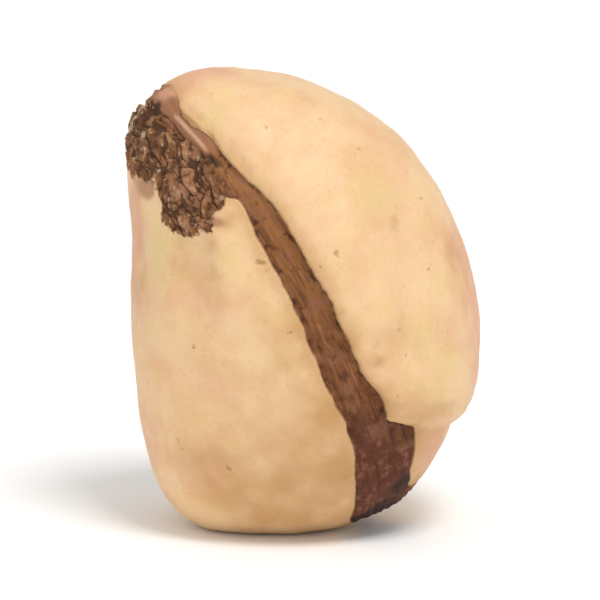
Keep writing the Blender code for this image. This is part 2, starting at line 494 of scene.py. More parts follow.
def crust_height(point):
    """From 0 in the deepest cracks to about 1 on the highest slabs of the crust."""
    bend = SLAB_BEND * noise_push(point / SLAB_BEND_WAVE)
    across = (across_seam(point) + bend.x) / SLAB_WIDTH
    along = (along_seam(point) + bend.y) / SLAB_LENGTH
    place = Vector((across, along, 0.0))
    height = SLAB_LEVEL + SLAB_UNEVENNESS * noise.fractal(place, *SLAB_DETAIL)
    for layer, (repeats, width, depth) in enumerate(CRACK_SETS):
        field = noise.noise(place * repeats + Vector((0.0, 0.0, CRACK_SHIFT + layer)))
        height -= depth * hump(field, width)
    return min(HIGHEST_SLAB, max(0.0, height))


def scar_relief(point, inside):
    """The crust over the plain body: nothing outside the scar."""
    shown = ease(inside, *SCAR_EDGE_FADE)
    if shown == 0.0:
        return 0.0
    return (SCAR_LIFT + CRUST_HEIGHT * (crust_height(point) - CRUST_MIDDLE)) * shown


print("crust at the scar's middle:", round(crust_height(SCAR_LOBES[0][0]), 2))

# %% [markdown]
# ## The rim beside the scar
#
# Over the shoulder the seam's tissue stands up beside the crust as a rim: a round knob at the top, then a
# low ridge, both drawn into soft strands. A thin crack parts it from the right seed leaf, and a groove from
# the crust. It needs a formula of its own, because the seam's channel would sink it.

# %% Rim relief
KNOB_ALONG, KNOB_ACROSS = -0.9, -0.1
KNOB_REACH = 1.2
KNOB_HEIGHT = 0.35
RIDGE_ACROSS = -0.70
RIDGE_REACH = 0.32
RIDGE_HEIGHT = 0.38
RIM_CRACK_REACH = 0.17
RIM_CRACK_DEPTH = 0.30
RIM_START_FADE = (-6.0, -3.5)
RIM_END_FADE = (5.4, 3.8)
BELOW_KNOB_FADE = (-0.3, 1.2)
RIM_GROOVE_ACROSS = -1.60
RIM_GROOVE_REACH = 0.32
RIM_GROOVE_DEPTH = 0.38
RIM_STRAND_HEIGHT = 0.22
RIM_STRAND_REACH = 1.0
RIM_STRAND_WAVE = Vector((0.45, 2.2, 1.0))


def on_rim(point):
    """1 on the seam's stretch over the shoulder, beside the scar."""
    along = along_seam(point)
    return ease(along, *RIM_START_FADE) * ease(along, *RIM_END_FADE)


def below_knob(point):
    """1 on the rim's lower stretch."""
    return on_rim(point) * ease(along_seam(point), *BELOW_KNOB_FADE)


def rim_ridge(point):
    """1 on top of the ridge."""
    return below_knob(point) * hump(across_seam(point) - RIDGE_ACROSS, RIDGE_REACH)


def rim_crack(point):
    """1 in the crack beside the right seed leaf."""
    return below_knob(point) * hump(across_seam(point) - seam_edges(point)[1], RIM_CRACK_REACH)


def rim_relief(point):
    """Knob, groove, strands, ridge and crack together."""
    share = on_rim(point)
    if share == 0.0:
        return 0.0
    across = across_seam(point)
    knob = hump(math.hypot(along_seam(point) - KNOB_ALONG, across - KNOB_ACROSS), KNOB_REACH)
    groove = hump(across - RIM_GROOVE_ACROSS, RIM_GROOVE_REACH)
    strands = noise.noise(stretched(Vector((across, along_seam(point), 0.0)), RIM_STRAND_WAVE))
    strands *= RIM_STRAND_HEIGHT * hump(across, RIM_STRAND_REACH)
    relief = (KNOB_HEIGHT * knob - RIM_GROOVE_DEPTH * groove + strands) * share
    return relief + RIDGE_HEIGHT * rim_ridge(point) - RIM_CRACK_DEPTH * rim_crack(point)


print("ridge beside the scar:", round(rim_relief(Vector((-9.7, -7.3, 16.1))), 2), "mm")

# %% [markdown]
# ## The fine mesh
#
# A ball of even triangles is the simplest start, because every point already knows its direction from the
# middle. Even triangles all over would waste most of them on smooth skin, so the edges along the seam,
# the crease and the scar are halved once, and those in the scar and at the seam's edges once more.

# %% Fine ball
BALL_SUBDIVISIONS = 7
FINE_REACH = 0.8
SEAM_EDGE_REACH = 0.3
SURELY_ON_LEAF = 0.3
SURELY_ON_FRONT = 0.2


def middle_on_body(edge):
    """The point of the plain body over the middle of this edge."""
    direction = (edge.verts[0].co + edge.verts[1].co).normalized()
    return direction * body_radius(direction)


def has_detail(point):
    """True near the seam, the crease or the scar."""
    if inside_seam(point) > -FINE_REACH or inside_scar(point) > -FINE_REACH:
        return True
    return abs(above_crease(point)) < FINE_REACH and on_right_leaf(point) > SURELY_ON_LEAF


def has_finest_detail(point):
    """True in the scar, and along the edges of the seam's front."""
    if inside_scar(point) > -SEAM_EDGE_REACH:
        return True
    return on_front(point) > SURELY_ON_FRONT and abs(inside_seam(point)) < SEAM_EDGE_REACH


def refine(ball, needs_it):
    """Halves the edges that need it, and puts the new points on the ball."""
    edges = [edge for edge in ball.edges if needs_it(middle_on_body(edge))]
    bmesh.ops.subdivide_edges(ball, edges=edges, cuts=1)
    bmesh.ops.triangulate(ball, faces=ball.faces[:])
    for vert in ball.verts:
        vert.co.normalize()


ball = bmesh.new()
subdivisions = BALL_SUBDIVISIONS
bmesh.ops.create_icosphere(ball, subdivisions=subdivisions, radius=1.0)
refine(ball, has_detail)
refine(ball, has_finest_detail)
print("triangles:", len(ball.faces), "points:", len(ball.verts))

# %% [markdown]
# ## From ball to nut
#
# Now every point moves out along its own direction. The seam, the crease and the scar are read on the
# plain body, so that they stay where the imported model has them. The foot is flattened where the nut
# stands, with a soft edge.

# %% Skin
FOOT_LEVEL = -19.9
FOOT_ROUNDING = 0.35
IN_SCAR_FADE = (-0.5, 0.5)
# how much of the seam's and of the leaves' relief is lost in the scar
SEAM_LOST_IN_SCAR = 0.75
LEAF_LOST_IN_SCAR = 0.5


def on_foot(point):
    """Keeps a point over the level that the nut stands on, and rounds the edge of the flat."""
    over = point.z - FOOT_LEVEL
    if over > FOOT_ROUNDING:
        return point
    height = (max(0.0, over + FOOT_ROUNDING)) ** 2 / (4.0 * FOOT_ROUNDING)
    return Vector((point.x, point.y, FOOT_LEVEL + height))


def skin_point(point):
    """Moves a point of the plain body in or out to the finished skin."""
    seam = inside_seam(point)
    scar = inside_scar(point)
    in_scar = ease(scar, *IN_SCAR_FADE)
    relief = seam_relief(point, seam) * (1.0 - SEAM_LOST_IN_SCAR * max(in_scar, on_rim(point)))
    relief += leaf_relief(point) * (1.0 - LEAF_LOST_IN_SCAR * in_scar)
    relief += crease_relief(point) + scar_relief(point, scar) + rim_relief(point)
    return on_foot(point + point.normalized() * relief)


body_points = [vert.co * body_radius(vert.co) for vert in ball.verts]
for vert, point in zip(ball.verts, body_points):
    vert.co = skin_point(point)
nut_data = bpy.data.meshes.new("kola_nut_skin")
ball.to_mesh(nut_data)
ball.free()
heights = [vert.co.z for vert in nut_data.vertices]
print("lowest and highest points in mm:", round(min(heights), 2), round(max(heights), 2))

# %% [markdown]
# ## Stains and painted light, given one by one
#
# A peeled nut blushes, yellows and bruises in places that no formula gives, and so does its brown tissue.
# Some spots are painted light instead: painted shade low on the nut, beside the seam, below the scar's
# lobe, on the crust's left side and at the pocket's foot, a painted reflection and painted shade on the
# leaves' edges, and a painted highlight on pale flakes of the scar. Such spots could be painted on an
# image. Here each one is a soft spot on the nut, with a middle, a reach and a strength, because a spot is
# quick to move and can be read at every point of the skin.

# %% Stains
# pink: a real blush on the rim and in places on the leaves, a painted pink reflection on the left edge,
# and painted shade on the right edge
BLUSH_REFLECTION_AND_SHADE_SPOTS = (
    (Vector((-15.5, -2.0, 2.0)), 4.5, 0.75),
    (Vector((-13.5, -4.0, -11.0)), 4.5, 0.55),
    (Vector((-8.5, -0.6, 21.0)), 2.8, 1.1),
    (Vector((-14.6, -2.6, 6.0)), 2.6, 0.6),
    (Vector((-14.7, -3.0, 8.6)), 2.4, 0.8),
    (Vector((-10.6, -3.3, 19.3)), 1.3, 0.9),
    (Vector((-9.3, -10.3, 2.0)), 2.0, 0.45),
    (Vector((-9.5, -10.0, 5.2)), 1.7, 0.48),
    (Vector((-11.4, -2.4, 19.0)), 1.5, 1.1),
    (Vector((15.0, -1.0, -4.0)), 5.0, 0.80),
    (Vector((14.5, -1.0, 4.0)), 5.5, 0.85),
    (Vector((10.8, -7.0, -11.3)), 1.8, 0.60),
    (Vector((12.3, -4.5, -13.0)), 3.2, 1.0),
    (Vector((-7.8, -9.0, -13.8)), 0.9, 1.2),
    (Vector((10.0, 8.0, -6.0)), 5.0, 0.7),
)
GREEN_SPOTS = (
    (Vector((6.5, -9.0, 11.0)), 3.0, 0.7),
    (Vector((10.0, -8.0, -4.0)), 3.4, 0.8),
    (Vector((-2.0, -12.0, -2.0)), 3.0, 0.5),
    (Vector((-12.6, -7.6, 5.5)), 3.2, 0.8),
    (Vector((-6.8, -11.1, 6.0)), 1.8, 0.6),
    (Vector((-7.3, -7.2, 17.4)), 1.6, 0.7),
    (Vector((2.0, 12.0, 4.0)), 5.0, 0.7),
)
# ochre stains on the leaves, and painted shade: darker near the foot, low on the front and between the
# scar's lobe and the seam; gold where a spot crosses the seam
OCHRE_AND_SHADE_SPOTS = (
    (Vector((-1.0, -9.0, -16.5)), 6.0, 0.9),
    (Vector((13.2, -4.0, 4.5)), 3.4, 0.42),
    (Vector((1.5, -12.3, -10.0)), 3.4, 0.32),
    (Vector((-9.5, -10.0, 4.6)), 2.0, 0.38),
    (Vector((-3.5, -12.4, 1.5)), 2.4, 0.35),
    (Vector((-0.8, -12.9, 0.5)), 1.3, 0.50),
    (Vector((-14.5, -4.0, 3.0)), 3.0, 0.45),
    (Vector((-6.6, -11.2, 9.3)), 1.4, 0.70),
    (Vector((3.5, -10.9, -12.8)), 1.6, 0.75),
    (Vector((-8.5, -9.0, -13.0)), 3.6, 0.45),
    (Vector((7.5, -11.5, -0.5)), 3.4, 0.40),
    (Vector((8.8, -10.6, -7.4)), 2.2, 0.45),
    (Vector((1.0, -12.8, -5.6)), 2.0, 0.45),
    (Vector((2.2, -12.5, -7.6)), 1.5, 0.60),
    (Vector((-1.5, -12.9, -2.5)), 2.6, 0.50),
    (Vector((-3.5, -12.4, -8.0)), 3.4, 0.30),
    (Vector((9.7, -4.6, -15.0)), 1.6, 1.0),
    (Vector((-8.1, -11.1, 7.2)), 1.0, 0.55),
    (Vector((-7.8, -11.4, 4.6)), 1.1, 0.55),
    (Vector((-7.6, -11.7, 2.0)), 1.1, 0.40),
    (Vector((-10.9, -9.2, 7.0)), 1.0, 0.45),
    (Vector((-11.0, -9.4, 4.4)), 1.1, 0.45),
    (Vector((10.5, -7.6, -7.5)), 2.4, 0.5),
    (Vector((2.4, -13.1, 1.4)), 1.0, 0.80),
    (Vector((3.5, -13.0, -1.2)), 1.2, 0.90),
    (Vector((5.2, -12.4, -5.9)), 1.5, 0.95),
    (Vector((-2.5, -12.1, 9.8)), 1.0, 0.60),
    (Vector((8.9, -9.5, -10.4)), 1.3, 1.10),
    (Vector((-6.0, 11.0, -9.0)), 5.0, 0.7),
    (Vector((8.0, 9.0, 10.0)), 4.0, 0.5),
)
# bruises on the skin, and one painted shadow at the scar lobe's lower right, beside the seam
BRUISE_AND_SHADE_SPOTS = (
    (Vector((-13.4, -5.4, 11.1)), 0.9, 1.5),
    (Vector((-14.3, -4.0, 10.6)), 1.2, 0.7),
    (Vector((-7.5, -10.9, 9.2)), 0.7, 0.9),
    (Vector((7.7, -8.8, 8.5)), 0.9, 0.45),
    (Vector((6.2, -12.2, -2.7)), 0.9, 0.45),
    (Vector((-3.0, 11.0, 14.0)), 1.6, 0.6),
)
# the darkest places of the seam and the scar: partly dark tissue, partly painted shade, as at the pocket's
# foot by the floor and on the crust's left side
DARK_TISSUE_AND_SHADE_SPOTS = (
    (Vector((-12.2, -5.3, 15.8)), 0.7, 0.8),
    (Vector((-12.7, -3.3, 17.6)), 0.7, 1.0),
    (Vector((-8.1, -9.3, 14.2)), 0.9, 1.0),
    (Vector((-9.0, -9.2, 12.9)), 0.6, 0.8),
    (Vector((-12.7, -5.5, 14.4)), 0.8, 0.7),
    (Vector((-13.8, -2.6, 15.8)), 1.8, 0.85),
    (Vector((-7.3, -10.3, 12.6)), 0.7, 0.7),
    (Vector((-6.6, -11.0, 11.4)), 0.7, 0.5),
    (Vector((8.9, -9.4, -10.1)), 1.3, 0.6),
    (Vector((8.6, -7.2, -14.0)), 1.8, 0.35),
    (Vector((8.4, -6.8, -14.8)), 1.5, 0.7),
    (Vector((7.2, -4.0, -17.6)), 2.1, 1.4),
    (Vector((4.9, -4.6, -18.6)), 1.8, 1.4),
)
# greyed pink places on the scar and the seam, and pale torn flakes on the scar, whose paleness is partly a
# painted highlight
MAUVE_SPOTS = (
    (Vector((-10.3, -8.1, 13.2)), 1.3, 1.0),
    (Vector((-8.8, -9.6, 11.9)), 1.0, 1.0),
    (Vector((-9.8, -9.2, 10.7)), 1.6, 0.9),
    (Vector((-14.2, -3.2, 12.6)), 1.3, 0.8),
    (Vector((0.9, -13.2, 2.3)), 0.9, 0.8),
    (Vector((2.6, -13.1, -2.6)), 1.1, 0.9),
    (Vector((3.8, -12.8, -5.2)), 1.1, 0.9),
    (Vector((-4.6, -11.8, 10.2)), 1.2, 0.8),
    (Vector((-6.4, -11.1, 11.2)), 1.1, 0.9),
    (Vector((6.5, -11.0, -9.6)), 1.3, 1.0),
)
FLAKE_AND_HIGHLIGHT_SPOTS = (
    (Vector((-13.9, -1.8, 17.3)), 0.90, 1.0),
    (Vector((-14.8, -1.8, 15.6)), 1.10, 0.9),
    (Vector((-13.7, -4.0, 15.2)), 0.70, 0.9),
    (Vector((-13.7, -4.6, 13.6)), 0.70, 0.9),
    (Vector((-12.6, -6.1, 12.3)), 0.60, 1.0),
)
STAINS_AND_PAINTED_LIGHT = {
    "blush": BLUSH_REFLECTION_AND_SHADE_SPOTS,
    "green": GREEN_SPOTS,
    "ochre": OCHRE_AND_SHADE_SPOTS,
    "bruise": BRUISE_AND_SHADE_SPOTS,
    "gloom": DARK_TISSUE_AND_SHADE_SPOTS,
    "mauve": MAUVE_SPOTS,
    "flake": FLAKE_AND_HIGHLIGHT_SPOTS,
}
print("spots placed by hand:", {name: len(spots) for name, spots in STAINS_AND_PAINTED_LIGHT.items()})

# %% [markdown]
# ## Marks for the finish
#
# The material has to know where the seam, the scar, the stains and the painted shade and highlights are.
# Painting an image would do it, but a number stored on each point is sharper, and needs no picture. The
# slabs of the crust and the fibres are stored too, so that cracks come out dark and ridges pale. Noise
# pulls the spots about, because real stains, and the shade and light painted among them, are never round.

# %% Marks
# how far noise pulls a spot's outline, as a share of its reach, and the wave of that noise
SPOT_RAGGED = 0.5
SPOT_RAGGED_WAVE = 2.4
POCKET_DARK_FADE = (-3.5, 1.5)


def spot_strength(point, spots):
    """How strong the spots are together here. Noise pulls their outlines about, so none is round."""
    pull = SPOT_RAGGED * noise_push(point / SPOT_RAGGED_WAVE)
    total = 0.0
    for middle, reach, strength in spots:
        total += strength * hump((point - middle + pull * reach).length, reach)
    return min(1.0, total)


def pocket_depth(point):
    """1 below the crease on the front, where the seam's tissue is darkest."""
    return ease(-above_crease(point), *POCKET_DARK_FADE) * on_front(point)


MARKS = {
    "seam": inside_seam,
    "scar": inside_scar,
    "across": across_seam,
    "along": along_seam,
    "crust": crust_height,
    "fibres": fibre_relief,
    "rim": on_rim,
    "ridge": rim_ridge,
    "crack": rim_crack,
    "pocket": pocket_depth,
}
mark_values = {name: [measure(point) for point in body_points] for name, measure in MARKS.items()}
for name, spots in STAINS_AND_PAINTED_LIGHT.items():
    mark_values[name] = [spot_strength(point, spots) for point in body_points]
for name, values in mark_values.items():
    nut_data.attributes.new(name, "FLOAT", "POINT").data.foreach_set("value", values)
    print("mark", name, "from", round(min(values), 2), "to", round(max(values), 2))

# %% [markdown]
# ## Standing where the model stands
#
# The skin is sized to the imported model's own box, so it is never bigger or smaller than the solid that it
# covers. Smooth shading hides the triangles.

# %% Place the skin
low = Vector(min(vert.co[axis] for vert in nut_data.vertices) for axis in range(3))
high = Vector(max(vert.co[axis] for vert in nut_data.vertices) for axis in range(3))
fit = Vector(NUT_SIZE[axis] / (high[axis] - low[axis]) for axis in range(3))
placing = Matrix.Translation(NUT_LOW) @ Matrix.Diagonal((*fit, 1.0)) @ Matrix.Translation(-low)
nut_data.transform(placing)
nut_data.shade_smooth()
nut = bpy.data.objects.new("kola_nut_skin", nut_data)
bpy.context.scene.collection.objects.link(nut)
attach(nut, "root")
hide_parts(CAD_NODE)
print("sized by", [round(part / METRES_PER_MM, 4) for part in fit])

# %% [markdown]
# ## Colours and nodes
#
# Colours are written as the hex values that a paint program shows. Shaders count in linear light, so one
# function turns them. One more small function adds a node with its settings and links, and every pattern
# below is built with it.

# %% Colour and node helpers
def linear(hex_colour):
    """Linear red, green, blue and alpha of an sRGB hex colour."""
    parts = [int(hex_colour[start:start + 2], 16) / 255.0 for start in (1, 3, 5)]
    return [part / 12.92 if part <= 0.04045 else ((part + 0.055) / 1.055) ** 2.4 for part in parts] + [1.0]


def add_node(tree, kind, inputs, output=0, **settings):
    """Adds a node and returns one of its outputs. An input is a value, or another node's output."""
    node = tree.nodes.new(kind)
    for name, value in settings.items():
        setattr(node, name, value)
    for name, value in inputs.items():
        if isinstance(value, bpy.types.NodeSocket):
            tree.links.new(value, node.inputs[name])
        else:
            node.inputs[name].default_value = value
    return node.outputs[output]


# a Mix node set to colours takes its share in input 0 and its colours in 6 and 7, and gives output 2
MIX_SHARE, MIX_UNDER, MIX_OVER, MIX_RESULT = 0, 6, 7, 2


def lay_tints(tree, colour, layers):
    """Lays tints over a colour, each where its pattern goes from start to end, up to its strength."""
    for pattern, start, end, strength, tint in layers:
        share = add_node(
            tree, "ShaderNodeMapRange",
            {"Value": pattern, "From Min": start, "From Max": end, "To Max": strength},
            interpolation_type="SMOOTHSTEP",
        )
        colour = add_node(
            tree, "ShaderNodeMix", {MIX_SHARE: share, MIX_UNDER: colour, MIX_OVER: tint}, MIX_RESULT,
            data_type="RGBA",
        )
    return colour


print("middle grey in linear light:", [round(part, 3) for part in linear("#808080")])

# %% [markdown]
# ## What every part of the nut shares
#
# The patterns are counted in millimetres on the nut itself, so they stay on it from any side. The marks
# come in as plain numbers. Three noises serve several of the finishes below: a slow drift, a mottle of a
# millimetre or two, and a grain of a third of a millimetre.

# %% Shared patterns
skin = bpy.data.materials.new("fresh peeled kola nut")
skin.use_nodes = True
tree = skin.node_tree
tree.nodes.clear()
on_nut = add_node(tree, "ShaderNodeTexCoord", {}, "Object")
to_mm = (1.0 / METRES_PER_MM,) * 3
in_mm = add_node(tree, "ShaderNodeVectorMath", {0: on_nut, 1: to_mm}, operation="MULTIPLY")
mark = {name: add_node(tree, "ShaderNodeAttribute", {}, "Fac", attribute_name=name) for name in mark_values}

DRIFT_MM = 6.0
MOTTLE_MM = 1.7
GRAIN_MM = 0.34
drift = add_node(tree, "ShaderNodeTexNoise", {"Vector": in_mm, "Scale": 1.0 / DRIFT_MM, "Detail": 3.0})
mottle = add_node(tree, "ShaderNodeTexNoise", {"Vector": in_mm, "Scale": 1.0 / MOTTLE_MM, "Detail": 4.0})
grain = add_node(tree, "ShaderNodeTexNoise", {"Vector": in_mm, "Scale": 1.0 / GRAIN_MM, "Detail": 3.0})
print("marks read by the material:", ", ".join(mark))

# %% [markdown]
# ## Seed leaf: moist starch under a thin skin
#
# The flesh of a fresh white kola nut is firm starch, and its skin is thin and a little moist. To the eye
# it is a warm cream with a satin gloss, never even: it drifts between pale yellow and peach, has ochre
# stains and pink blushes, and is faintly green in places. Painted shade darkens it to ochre near the foot,
# low on the front, beside the seam and between the scar's lobe and the seam, and to pink-brown on the
# right edge, and a painted pink reflection lies on the left edge. The drift and a tinge of two millimetres
# are noise. The stains and the painted shade are the marks, with the mottle added to break up their
# outlines.

# %% Seed leaf colour
CREAM = linear("#E4C093")
PEACH = linear("#DAAA7B")
PALE = linear("#ECCEA5")
YELLOW_CREAM = linear("#E0C484")
PINK_CREAM = linear("#E4B492")
BLUSH_REFLECTION_AND_SHADE = linear("#D69F7C")
GREEN_CREAM = linear("#D8BD82")
OCHRE_AND_SHADE = linear("#BD8E57")
BRUISE_AND_SHADE = linear("#A06C4A")
TINGE_MM = 2.2

tinge = add_node(tree, "ShaderNodeTexNoise", {"Vector": in_mm, "Scale": 1.0 / TINGE_MM, "Detail": 3.0})
LEAF_LAYERS = (
    # what it reads, how much mottle breaks it up, where it starts and ends, its strength and its tint
    (drift, 0.35, 0.55, 0.95, 0.85, PEACH),
    (mottle, 0.0, 0.55, 0.75, 0.35, PALE),
    (tinge, 0.0, 0.52, 0.72, 0.40, YELLOW_CREAM),
    (tinge, 0.0, 0.48, 0.30, 0.35, PINK_CREAM),
    (mark["green"], 0.5, 0.30, 1.10, 0.75, GREEN_CREAM),
    # pink blush, with a painted pink reflection on the left edge and painted shade on the right edge
    (mark["blush"], 0.5, 0.30, 1.30, 0.90, BLUSH_REFLECTION_AND_SHADE),
    # ochre stains, and painted shade near the foot, low on the front and between the scar's lobe and the
    # seam
    (mark["ochre"], 0.5, 0.25, 1.25, 0.85, OCHRE_AND_SHADE),
    # an ochre band on the skin beside the seam: partly a stain, partly painted shade where the leaves round
    # in
    (mark["seam"], 1.2, -1.20, 0.80, 0.60, OCHRE_AND_SHADE),
    # bruises, and a painted shadow at the scar lobe's lower right
    (mark["bruise"], 0.9, 0.60, 1.35, 0.80, BRUISE_AND_SHADE),
)
ragged_layers = []
for source, ragged, *rest in LEAF_LAYERS:
    uneven = add_node(tree, "ShaderNodeMath", {0: mottle, 1: ragged, 2: source}, operation="MULTIPLY_ADD")
    ragged_layers.append((uneven, *rest))
leaf_colour = lay_tints(tree, CREAM, ragged_layers)
print("seed leaf layers:", len(LEAF_LAYERS))

# %% [markdown]
# ## Specks, pores and wrinkles
#
# Every peeled nut carries a few specks where the coat pulled away, and faint pores all over. Both are the
# high peaks of a noise, which are few, small and irregular. Real pores are under a tenth of a millimetre
# and too fine to show, so they are drawn as coarse as they need to show. Beside the seam the skin is drawn
# into short slanting wrinkles: noise read across and along the seam, and sheared, so that it slants.

# %% Specks, pores and wrinkles
SPECK = linear("#8E5F38")
PORE = linear("#C39A6C")
SPECK_MM = 1.2
PORE_MM = 0.32
WRINKLE_SPACING_MM = 0.55
WRINKLE_LENGTH_MM = 2.4
WRINKLE_SHEAR = 0.9
WRINKLES_START, WRINKLES_FULL = -3.2, -0.4

speck_field = add_node(
    tree, "ShaderNodeTexNoise", {"Vector": in_mm, "Scale": 1.0 / SPECK_MM, "Detail": 3.0}
)
pores = add_node(tree, "ShaderNodeTexNoise", {"Vector": in_mm, "Scale": 1.0 / PORE_MM, "Detail": 1.0})
slant = add_node(
    tree, "ShaderNodeMath", {0: mark["across"], 1: WRINKLE_SHEAR, 2: mark["along"]},
    operation="MULTIPLY_ADD",
)
seam_place = add_node(tree, "ShaderNodeCombineXYZ", {"X": mark["across"], "Y": mark["along"]})
slanted_place = add_node(tree, "ShaderNodeCombineXYZ", {"X": mark["across"], "Y": slant})
wrinkle_waves = add_node(
    tree, "ShaderNodeVectorMath",
    {0: slanted_place, 1: (1.0 / WRINKLE_LENGTH_MM, 1.0 / WRINKLE_SPACING_MM, 1.0)}, operation="MULTIPLY",
)
wrinkle_noise = add_node(tree, "ShaderNodeTexNoise", {"Vector": wrinkle_waves, "Scale": 1.0, "Detail": 2.0})
near_seam = add_node(
    tree, "ShaderNodeMapRange",
    {"Value": mark["seam"], "From Min": WRINKLES_START, "From Max": WRINKLES_FULL},
    interpolation_type="SMOOTHSTEP",
)
wrinkles = add_node(tree, "ShaderNodeMath", {0: wrinkle_noise, 1: near_seam}, operation="MULTIPLY")
# each layer here and in the cells below: what it reads, its start and end, its strength and its tint
FINE_LEAF_LAYERS = (
    (speck_field, 0.68, 0.77, 0.65, SPECK),
    (pores, 0.60, 0.78, 0.35, PORE),
    (wrinkles, 0.52, 0.75, 0.45, PORE),
)
leaf_colour = lay_tints(tree, leaf_colour, FINE_LEAF_LAYERS)
print("fine layers on the seed leaves:", len(FINE_LEAF_LAYERS))

# %% [markdown]
# ## Seam tissue: torn, dried fibres
#
# Between the seed leaves a fibrous tissue dried to brown. It is matt and stringy: pale along the ridges,
# nearly black in the gaps and in bites along both edges, golden in places, and purple-brown low down,
# where it is thickest. The dark edges are partly painted shade under the lips, the near black at the
# pocket's foot is painted shade, and the pale top of the rim's ridge is a painted highlight. The stored
# fibres give the coarse strings. Finer ones come from noise drawn out along the seam. Real ones are a few
# hundredths of a millimetre apart, which is too fine to show, so they are drawn as coarse as they need to
# show. A round noise gives dark pits and greyed patches.

# %% Seam colour
SEAM_BROWN = linear("#85542A")
SEAM_PALE = linear("#A57244")
SEAM_DARK = linear("#42220E")
SEAM_PURPLE = linear("#5A2C1B")
SEAM_GOLD = linear("#7A4A1C")
SEAM_MAUVE = linear("#885841")
SEAM_BLACK_AND_SHADE = linear("#24110A")
RIM_PINK = linear("#98684B")
RIM_PAINTED_HIGHLIGHT = linear("#C79C7C")
STRING_SPACING_MM = 0.16
STRING_LENGTH_MM = 2.0
BLOTCH_MM = 0.75
STRINGS_FROM_FIBRES = 0.35
DARK_AND_SHADE_RAGGED = 0.9
EDGE_RAGGED = 1.6

blotches = add_node(tree, "ShaderNodeTexNoise", {"Vector": in_mm, "Scale": 1.0 / BLOTCH_MM, "Detail": 3.0})
string_waves = add_node(
    tree, "ShaderNodeVectorMath",
    {0: seam_place, 1: (1.0 / STRING_SPACING_MM, 1.0 / STRING_LENGTH_MM, 1.0)}, operation="MULTIPLY",
)
strings = add_node(tree, "ShaderNodeTexNoise", {"Vector": string_waves, "Scale": 1.0, "Detail": 3.0})
string_height = add_node(
    tree, "ShaderNodeMath", {0: mark["fibres"], 1: STRINGS_FROM_FIBRES, 2: strings},
    operation="MULTIPLY_ADD",
)
# dark tissue and painted shade, with ragged outlines
ragged_dark_and_shade = add_node(
    tree, "ShaderNodeMath", {0: blotches, 1: DARK_AND_SHADE_RAGGED, 2: mark["gloom"]}, operation="MULTIPLY_ADD"
)
ragged_edge = add_node(
    tree, "ShaderNodeMath", {0: blotches, 1: EDGE_RAGGED, 2: mark["seam"]}, operation="MULTIPLY_ADD"
)
SEAM_LAYERS = (
    (mark["along"], 14.0, 7.0, 0.45, SEAM_PALE),
    (mark["along"], 19.0, 24.0, 0.35, SEAM_PURPLE),
    (string_height, 0.55, 0.90, 0.60, SEAM_PALE),
    (mark["pocket"], 0.2, 1.0, 0.85, SEAM_PURPLE),
    # gold from the ochre spots, which are partly painted shade
    (mark["ochre"], 0.35, 1.00, 0.70, SEAM_GOLD),
    (mark["mauve"], 0.25, 0.90, 0.55, SEAM_MAUVE),
    (blotches, 0.52, 0.66, 0.65, SEAM_MAUVE),
    (blotches, 0.46, 0.30, 0.60, SEAM_DARK),
    (string_height, 0.42, 0.15, 0.60, SEAM_DARK),
    # dark edges: dark tissue, and painted shade where the lips overhang the channel
    (ragged_edge, 1.15, 0.75, 0.65, SEAM_DARK),
    (mark["rim"], 0.0, 1.0, 0.85, RIM_PINK),
    (mark["blush"], 0.20, 1.30, 0.80, BLUSH_REFLECTION_AND_SHADE),
    # a painted highlight along the top of the rim's ridge
    (mark["ridge"], 0.45, 1.0, 0.75, RIM_PAINTED_HIGHLIGHT),
    (mark["crack"], 0.25, 0.9, 0.80, SEAM_DARK),
    # near black: dark tissue, and painted shade at the pocket's foot
    (ragged_dark_and_shade, 0.70, 1.45, 0.85, SEAM_BLACK_AND_SHADE),
)
seam_colour = lay_tints(tree, SEAM_BROWN, SEAM_LAYERS)
print("seam layers:", len(SEAM_LAYERS))

# %% [markdown]
# ## Scar crust: corky bark
#
# The crust is dead, corky tissue, dry and quite matt. Its cracks and pits are a dark olive brown, its slabs
# a mauve brown with grey patches, and pale flakes lift at the edge, painted paler still as a highlight
# where they would catch the light. Its darkest spots are partly painted shade. Marks give the cracks and
# the larger patches. The patches under a millimetre are the seam's round noise once more, so that the two
# dry tissues look related.

# %% Scar colour
CRUST_CRACK = linear("#44260E")
CRUST_OLIVE = linear("#784B24")
CRUST_MAUVE = linear("#A47253")
CRUST_GREY = linear("#AE8D68")
CRUST_FLAKE_AND_HIGHLIGHT = linear("#CFB49A")
FLAKE_MM = 0.55
CRUST_DRIFT_MM = 2.4
FLAKES_AND_HIGHLIGHT_RAGGED = 3.0

